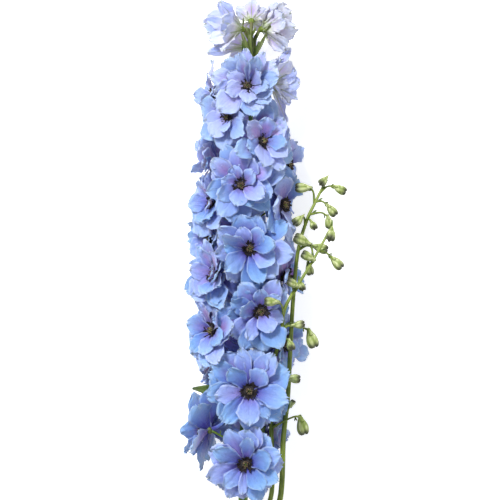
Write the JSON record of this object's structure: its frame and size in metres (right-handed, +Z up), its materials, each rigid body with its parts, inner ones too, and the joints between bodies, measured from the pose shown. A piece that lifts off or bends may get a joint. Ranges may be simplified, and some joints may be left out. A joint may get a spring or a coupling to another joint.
{
  "type": "delphinium flower spike",
  "caption": "Cut delphinium spike lying on a surface: open two-layered blooms round a stem, half-open heads at its tip and slim side shoots with buds.",
  "frame": {"origin": "centre of the bounding box on the surface that the spike lies on", "axes": "+Y along the stem towards the tip of the spike, +Z up from the surface, +X to the side of the two budded shoots"},
  "size_m": [0.1366, 0.5288, 0.0913],
  "materials": {
    "petal": "matte, soft",
    "pale_petal": "matte, soft",
    "eye": "matte, hairy",
    "stem": "satin, fresh",
    "side_shoot": "satin, fresh"
  },
  "bodies": {
    "root": {"bloom_back_1": "petal", "bloom_back_1_eye": "eye", "bloom_back_2": "petal", "bloom_back_2_eye": "eye", "bloom_back_3": "petal", "bloom_back_3_eye": "eye", "bloom_back_4": "petal", "bloom_back_4_eye": "eye", "bloom_front_1": "petal", "bloom_front_1_eye": "eye", "bloom_front_2": "petal", "bloom_front_2_eye": "eye", "bloom_front_3": "petal", "bloom_front_3_eye": "eye", "bloom_front_4": "petal", "bloom_front_4_eye": "eye", "bloom_front_5": "petal", "bloom_front_5_eye": "eye", "bloom_front_6": "petal", "bloom_front_6_eye": "eye", "bloom_front_7": "petal", "bloom_front_7_eye": "eye", "bloom_front_8": "petal", "bloom_front_8_eye": "eye", "bloom_left_1": "petal", "bloom_left_1_eye": "eye", "bloom_left_2": "petal", "bloom_left_2_eye": "eye", "bloom_left_3": "petal", "bloom_left_3_eye": "eye", "bloom_left_4": "petal", "bloom_left_4_eye": "eye", "bloom_left_5": "petal", "bloom_left_5_eye": "eye", "bloom_left_6": "petal", "bloom_left_6_eye": "eye", "bloom_left_7": "petal", "bloom_left_7_eye": "eye", "bloom_left_8": "petal", "bloom_left_8_eye": "eye", "bloom_right_1": "petal", "bloom_right_1_eye": "eye", "bloom_right_2": "petal", "bloom_right_2_eye": "eye", "bloom_right_3": "petal", "bloom_right_3_eye": "eye", "bloom_right_4": "petal", "bloom_right_4_eye": "eye", "bloom_right_5": "petal", "bloom_right_5_eye": "eye", "bloom_right_6": "petal", "bloom_right_6_eye": "eye", "head_back": "pale_petal", "head_left": "pale_petal", "head_low": "pale_petal", "head_right": "pale_petal", "head_top": "pale_petal", "main_stem": "stem", "side_shoot_a": "side_shoot", "side_shoot_b": "side_shoot"}
  },
  "joints": []
}
